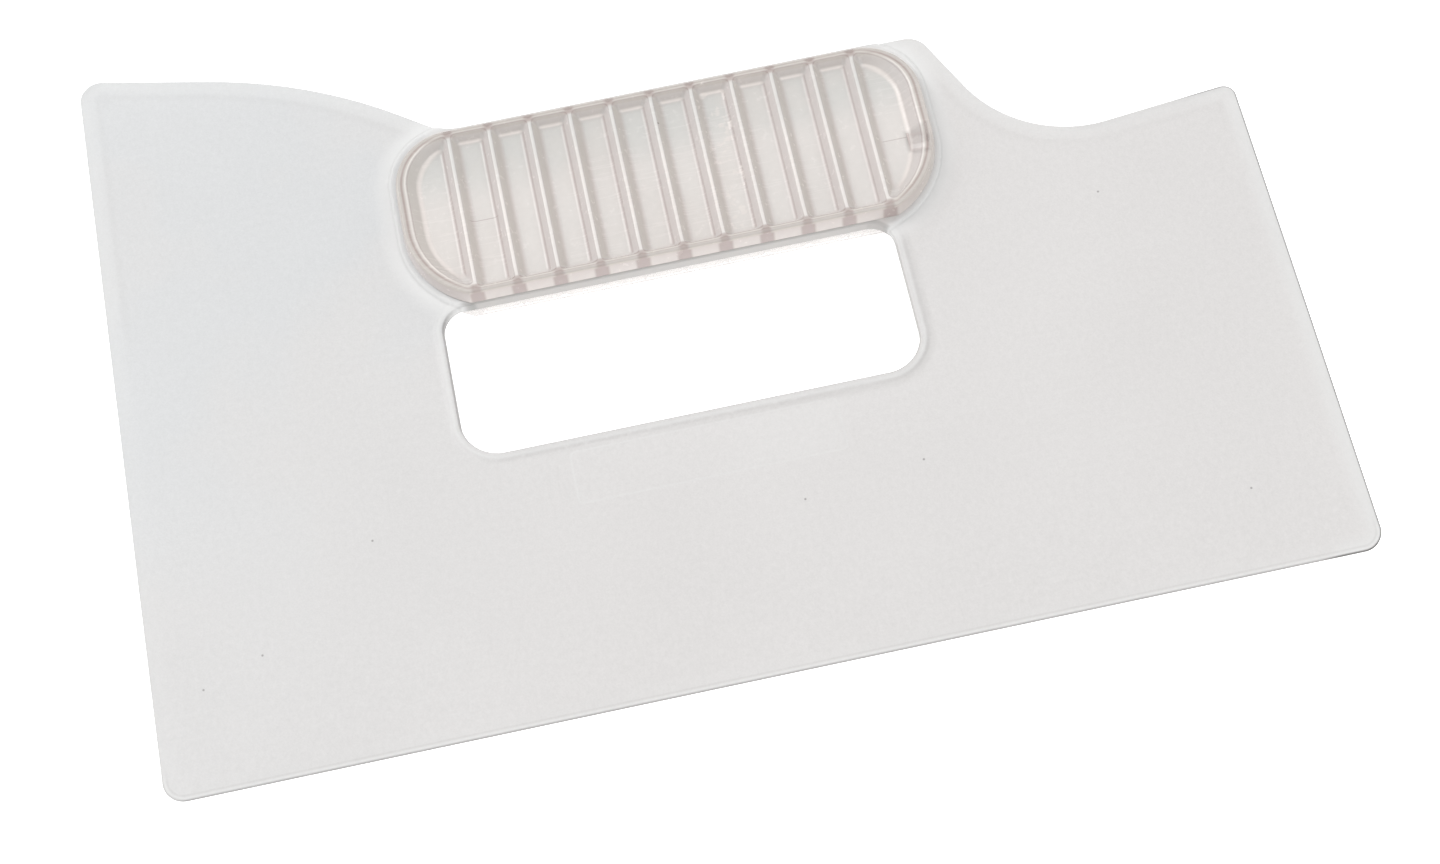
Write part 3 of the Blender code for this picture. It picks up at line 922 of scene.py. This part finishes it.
def milky_blade_plastic(grain, specks, scuffs):
    """Translucent grained sheet with a clearer rim and cut edges darkened by painted shade."""
    material, net, shader = new_material("milky_blade_plastic")
    _, x, y, _ = net.place()
    edge, slot = net.kept("edge_distance"), net.kept("slot_distance")
    pad, panel = net.kept("pad_distance"), net.kept("panel_distance")
    mould = net.effect(grain, fineness=2300.0)
    # Cooler towards the upper left, in soft clouds, and paler towards the left.
    across = net.plus(net.times(x, COOL_LEAN), y)
    clouded = net.times(net.ramp(across, *CLOUD_REACH),
                        net.ramp(mould["Clouds"], 0.42, 0.62, start=-0.4, end=0.6))
    colour = net.mix(net.plus(net.ramp(across, *COOL_REACH), clouded), MILKY_WARM, MILKY_COOL)
    leftwards = net.plus(x, net.times(y, PALE_LEAN))
    colour = net.mix(net.ramp(leftwards, *PALE_REACH, start=0.6, end=0.0), colour, MILKY_PALE)
    colour = moulded_tone(net, colour, mould, base=0.85, grain=0.24, clouds=0.07)
    # The rim is thinner and clearer. Its cut edge gets painted shade: dark where it turns away
    # from the light, softer where it faces the light, and a fine dark line on the right and
    # lower edges.
    lower_rim, right_rim = net.fade(y, *LOWER_RIM), net.ramp(x, *RIGHT_RIM)
    rim_share = net.larger(net.ramp(y, *RIM_CLIMB, start=0.12, end=0.34),
                           net.times(right_rim, 0.5))
    rim_band = net.times(net.fade(edge, *RIM_BAND), rim_share)
    colour = net.mix(rim_band, colour, MILKY_CLEAR_AND_GLINT)
    rim_foot_share = net.ramp(y, *RIM_FOOT_CLIMB, start=0.0, end=0.07)
    colour = net.tint(colour, MILKY_SHADE, net.hump(edge, *RIM_FOOT), rim_foot_share)
    unlit = net.turned_to(FROM_LIGHT, 0.05, 0.7)
    unlit_share = net.plus(0.5, net.times(right_rim, 0.45))
    colour = net.tint(colour, MILKY_DARK, unlit, unlit_share)
    lit = net.turned_to(TOWARDS_LIGHT, 0.2, 0.9)
    colour = net.tint(colour, MILKY_SHADE, lit, strength=0.4)
    edge_line = net.ramp(edge, *EDGE_LINE, start=0.9, end=0.0)
    edge_share = net.plus(net.times(right_rim, 0.85), net.times(lower_rim, 0.25))
    colour = net.tint(colour, MILKY_DARK, edge_line, net.maths("MINIMUM", edge_share, 0.9))
    # The bevel of the working edge: a light strip, and a fine line of painted shade above it.
    strip = net.times(net.hump(edge, *BEVEL_STRIP), lower_rim)
    colour = net.tint(colour, MILKY_CLEAR_AND_GLINT, strip, strength=0.5)
    bevel_line = net.times(net.hump(edge, *BEVEL_LINE), lower_rim)
    colour = net.tint(colour, MILKY_SHADE, bevel_line, strength=0.16)
    # The lip round the slot: painted shadow at its foot, stronger towards the lower right, a
    # painted highlight on its top and a fine dark line at the slot itself.
    rightwards = net.plus(x, net.times(y, LIP_FOOT_LEAN))
    lip_foot_share = net.ramp(rightwards, *LIP_FOOT_REACH, start=0.0, end=0.17)
    colour = net.tint(colour, MILKY_SHADE, net.hump(slot, *LIP_FOOT), lip_foot_share)
    colour = net.tint(colour, MILKY_CLEAR_AND_GLINT, net.hump(slot, *LIP_GLINT), strength=0.35)
    colour = net.mix(net.ramp(slot, *SLOT_LINE, start=0.35, end=0.0), colour, MILKY_SHADE)
    # The pad's edge round the ends of the grip: a pale halo of painted light and a fine line of
    # painted shade. Then the plastic under the grip, and painted shade on the bar beside the
    # slot.
    colour = net.tint(colour, HALO_PALE, net.hump(pad, *HALO), strength=0.85)
    colour = net.tint(colour, MILKY_SHADE, net.hump(pad, *HALO_LINE), strength=0.16)
    colour = net.mix(net.fade(pad, *BELOW_GRIP), colour, UNDER_GRIP)
    bar_edge = net.times(net.fade(pad, *ON_PAD), net.fade(slot, *BAR_EDGE))
    colour = net.tint(colour, MILKY_SHADE, bar_edge, strength=0.5)
    # The blank panel under the slot: a fine light outline, lighter towards its right end.
    colour = net.tint(colour, MILKY_CLEAR_AND_GLINT, net.hump(panel, *PANEL_LINE), strength=0.28)
    panel_share = net.ramp(x, *PANEL_CLIMB, start=0.05, end=0.3)
    inside_panel = net.times(net.fade(panel, *PANEL_INSIDE), panel_share)
    colour = net.tint(colour, MILKY_CLEAR_AND_GLINT, inside_panel, strength=0.5)
    dust = net.effect(specks, cells=70.0, radius=0.00036, share=0.03)["Mask"]
    colour = net.tint(colour, DUST, dust, strength=0.55)
    rubs = net.effect(scuffs, amount=1.0)["Mask"]
    colour = net.tint(colour, MILKY_CLEAR_AND_GLINT, rubs, strength=0.14)
    net.put(shader.inputs["Base Color"], colour)
    rough = moulded_roughness(net, mould, rubs, base=0.38, grain=0.2, rubbed=0.12)
    net.put(shader.inputs["Roughness"], rough)
    cover = net.plus(0.86, net.times(rim_band, -0.06))
    net.put(shader.inputs["Alpha"], net.larger(cover, net.times(unlit, 0.95)))
    net.put(shader.inputs["IOR"], 1.46)
    net.put(shader.inputs["Specular IOR Level"], 0.35)
    bumped(net, shader, mould["Grain"], distance=0.00004)
    return material


def clear_grip_plastic(grain, specks, scuffs):
    """Clear, slightly rosy plastic. Its painted light and shade follow the way each wall, rib
    and floor faces.
    """
    material, net, shader = new_material("clear_grip_plastic")
    spot, x, y, z = net.place()
    mould = net.effect(grain, fineness=700.0)
    foot, crown, wall = net.kept("foot_line"), net.kept("crown"), net.kept("wall_distance")
    from_middle = net.size_of(net.plus(z, -MID_Z))
    slope = net.maths("SUBTRACT", 1.0, net.size_of(net.facing_way(TO_FRONT)))
    # Floors of the pockets: painted shade towards the top, with warmer patches.
    up = net.ramp(y, *POCKET_CLIMB)
    floor = net.mix(net.ramp(up, 0.55, 1.0, start=0.0, end=0.7), POCKET_PALE, POCKET_SHADE)
    patches = net.ramp(net.noise(spot, 60.0, 3.0), 0.45, 0.7, start=0.0, end=0.4)
    floor = net.mix(patches, floor, POCKET_WARM)
    # Flanks of the ribs and walls: painted light on those that face left and towards the top,
    # painted shade on those that face right and towards the working edge.
    to_left, to_right = (net.turned_to(way, 0.2, 0.9) for way in (TO_LEFT, TO_RIGHT))
    to_edge, to_top = (net.turned_to(way, 0.35, 0.95) for way in (TO_EDGE, TO_TOP))
    colour = net.tint(floor, RIB_LIT, to_left, strength=0.85)
    colour = net.tint(colour, OLIVE_SHADE, to_right, strength=0.85)
    colour = net.tint(colour, RIB_LIT, to_top, strength=0.6)
    colour = net.tint(colour, ROSY_SHADE, to_edge, strength=0.6)
    # Painted shade where the ends of the ribs show through the outer wall of the front shell.
    first_rib, last_rib = rib_x(0), rib_x(RIB_COUNT - 1)
    near, far = BESIDE_RIBS
    from_rib = net.maths("PINGPONG", net.plus(x, -first_rib), (rib_x(1) - first_rib) / 2)
    among_ribs = net.times(net.ramp(x, first_rib - far, first_rib - near),
                           net.fade(x, last_rib + near, last_rib + far))
    rib_end = net.times(net.times(net.fade(from_rib, *RIB_END), among_ribs),
                        net.plus(to_edge, to_top))
    front = net.ramp(z, MID_Z, MID_Z + SEAT)
    colour = net.tint(colour, ROSY_DEEP, net.times(rib_end, front), strength=0.62)
    rear = net.maths("SUBTRACT", 1.0, front)
    colour = net.tint(colour, REAR_PALE, rear, strength=0.6)
    # Painted shade in nested lines and a band along the crest of the wall, darker where the
    # ribs meet it, with one more line round the ends.
    at_end = net.larger(net.fade(x, *LEFT_END), net.ramp(x, *RIGHT_END))
    colour = net.tint(colour, ROSY_DEEP, net.hump(wall, *WALL_LINE), strength=0.12)
    crest = net.ramp(from_middle, *NEAR_CREST)
    in_wall = net.times(crest, net.fade(wall, *IN_WALL))
    colour = net.tint(colour, OLIVE_SHADE, in_wall, strength=0.75)
    joint = net.times(net.times(in_wall, net.fade(from_rib, *RIB_JOINT)), among_ribs)
    colour = net.tint(colour, ROSY_DEEP, joint, strength=0.5)
    crest_share = net.times(net.times(crest, at_end), 0.45)
    colour = net.tint(colour, ROSY_DEEP, net.hump(wall, *CREST_LINE), crest_share)
    # Line along the foot of each rib and wall: painted shade among the ribs, stronger on the
    # flanks that face left, and a painted highlight round the ends and under the upper wall.
    foot_share = net.plus(0.25, net.times(to_left, 0.55))
    colour = net.tint(colour, ROSY_DEEP, foot, foot_share)
    colour = net.tint(colour, HIGHLIGHT_AND_WEAR, net.times(foot, at_end), strength=0.6)
    upper_foot = net.times(foot, net.turned_to(TO_EDGE, 0.2, 0.6))
    colour = net.tint(colour, HIGHLIGHT_AND_WEAR, upper_foot, strength=0.9)
    # Broken painted highlight along each crown, with painted shade on the rounding beside it.
    # The highlight fades towards both ends of the ribs.
    along_sides = net.larger(net.fade(y, *LOWER_SIDE), net.ramp(y, *UPPER_SIDE))
    ridge = net.times(net.ramp(crown, *RIDGE_TOP), net.plus(1.0, net.times(along_sides, -0.85)))
    rib_share = net.plus(0.3, net.times(net.hump(y, *RIDGE_REACH), 0.7))
    ridge = net.times(ridge, net.larger(at_end, rib_share))
    colour = net.tint(colour, ROSY_DEEP, net.hump(crown, *RIDGE_FLANK), strength=0.42)
    streaks = net.noise(spot, 120.0, 2.0, stretch=(1.0, 0.35, 1.0))
    streaks = net.ramp(streaks, 0.38, 0.6, start=0.25, end=0.95)
    colour = net.tint(colour, HIGHLIGHT_AND_WEAR, net.times(ridge, streaks), strength=0.8)
    colour = moulded_tone(net, colour, mould, base=0.87, grain=0.14, clouds=0.12)
    # Scuffs on the floors, and one pocket that is worn rough.
    level = net.fade(slope, *LEVEL_FLOOR)
    rubs = net.times(net.effect(scuffs, amount=1.0)["Mask"], level)
    worn_pocket = net.times(net.ramp(x, *WORN_START), net.fade(x, *WORN_END))
    worn = net.times(worn_pocket, net.ramp(net.noise(spot, 420.0, 4.0), 0.56, 0.62))
    worn = net.times(worn, level)
    rubbed = net.plus(net.times(rubs, 0.07), net.times(worn, 0.5))
    colour = net.mix(rubbed, colour, HIGHLIGHT_AND_WEAR)
    # Fine lines left where the mould's parts met, and the square of the key below.
    for line_y, start, end in MOULD_LINES:
        line = net.fade(net.size_of(net.plus(y, -line_y)), *MOULD_LINE_WIDTH)
        reach = net.times(net.ramp(x, start, start + MOULD_LINE_FADE),
                          net.fade(x, end - MOULD_LINE_FADE, end))
        colour = net.tint(colour, ROSY_DEEP, net.times(line, reach), strength=0.4)
    key_x, key_y = key_outline(0.0).mean(0)
    from_key = net.larger(net.size_of(net.plus(x, -key_x)), net.size_of(net.plus(y, -key_y)))
    key_side = net.times(net.hump(from_key, *KEY_EDGE), net.fade(from_middle, *KEY_DEPTH))
    colour = net.tint(colour, ROSY_DEEP, key_side, strength=0.8)
    dust = net.effect(specks, cells=110.0, radius=0.0003, share=0.03)["Mask"]
    colour = net.tint(colour, DUST, dust, strength=0.6)
    net.put(shader.inputs["Base Color"], colour)
    rough = moulded_roughness(net, mould, rubs, base=0.20, grain=0.12, rubbed=0.2)
    net.put(shader.inputs["Roughness"], rough)
    # Steep walls, feet and crowns cover more than flat floors, and the rear shell covers less.
    cover = net.plus(net.ramp(slope, 0.05, 0.85, start=0.55, end=0.80), net.times(foot, 0.15))
    cover = net.plus(cover, net.times(crown, 0.15))
    cover = net.times(cover, net.plus(0.4, net.times(front, 0.6)))
    cover = net.times(cover, net.ramp(from_key, *OVER_KEY, start=0.7, end=1.0))
    net.put(shader.inputs["Alpha"], net.larger(cover, key_side))
    net.put(shader.inputs["IOR"], 1.49)
    net.put(shader.inputs["Coat Weight"], net.times(ridge, 0.6))
    net.put(shader.inputs["Coat Roughness"], 0.08)
    bumped(net, shader, mould["Grain"], distance=0.00008)
    return material


def pale_floor():
    material, net, shader = new_material("pale_floor")
    uneven = net.times(net.noise(net.place()[0], 40.0), 0.04)
    net.put(shader.inputs["Base Color"], net.shade(FLOOR_WHITE, net.plus(uneven, 0.98)))
    net.put(shader.inputs["Roughness"], 0.8)
    net.put(shader.inputs["Specular IOR Level"], 0.0)
    net.put(shader.inputs["Emission Color"], (1.0, 1.0, 1.0, 1.0))
    net.put(shader.inputs["Emission Strength"], FLOOR_GLOW)
    return material


# Studio.

def make_floor():
    mesh = bpy.data.meshes.new("floor")
    corners = [(-FLOOR_REACH, -FLOOR_REACH, 0), (FLOOR_REACH, -FLOOR_REACH, 0),
               (FLOOR_REACH, FLOOR_REACH, 0), (-FLOOR_REACH, FLOOR_REACH, 0)]
    mesh.from_pydata(corners, [], [(0, 1, 2, 3)])
    floor = bpy.data.objects.new("floor", mesh)
    bpy.context.scene.collection.objects.link(floor)
    floor.data.materials.append(pale_floor())


def softbox(name, place, size, power):
    """White soft light that points at the tool."""
    light = bpy.data.lights.new(name, "AREA")
    light.shape = "RECTANGLE"
    light.size, light.size_y = size
    light.energy = power
    item = bpy.data.objects.new(name, light)
    item.location = place
    item.rotation_euler = (-item.location).to_track_quat("-Z", "Y").to_euler()
    bpy.context.scene.collection.objects.link(item)


def soft_room():
    world = bpy.data.worlds.new("soft_room")
    world.use_nodes = True
    background = world.node_tree.nodes["Background"]
    background.inputs["Color"].default_value = (1.0, 1.0, 1.0, 1.0)
    background.inputs["Strength"].default_value = ROOM_LIGHT
    bpy.context.scene.world = world


def make_camera():
    camera = bpy.data.cameras.new("camera")
    camera.lens = LENS
    camera.sensor_width = SENSOR_WIDTH
    item = bpy.data.objects.new("camera", camera)
    place = Vector(CAMERA_PLACE)
    turn = (Vector(CAMERA_AIM) - place).to_track_quat("-Z", "Y").to_matrix()
    turn = turn @ Matrix.Rotation(CAMERA_ROLL, 3, "Z")
    item.matrix_world = Matrix.Translation(place) @ turn.to_4x4()
    bpy.context.scene.collection.objects.link(item)
    bpy.context.scene.camera = item


blade_sheet = make_blade()
effects = (moulded_grain(), stray_specks(), hairline_scuffs())
blade_sheet.data.materials.append(milky_blade_plastic(*effects))
front_shell = make_shell("grip_front_shell", 1)
rear_shell = make_shell("grip_rear_shell", -1)
grip_plastic = clear_grip_plastic(*effects)
for shell in (front_shell, rear_shell):
    shell.data.materials.append(grip_plastic)
for item, node, slot_name in ((blade_sheet, "blade", "blade_plastic"),
                              (front_shell, "grip_front", "grip_plastic"),
                              (rear_shell, "grip_rear", "grip_plastic")):
    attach(item, "root")
    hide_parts(node)

make_floor()
soft_room()
softbox("key_softbox", place=(-0.9, 0.7, 1.2), size=(0.5, 0.8), power=12.0)
softbox("fill_softbox", place=(0.9, -0.6, 1.3), size=(0.9, 0.9), power=8.0)
make_camera()
bpy.context.scene.view_settings.view_transform = "Standard"
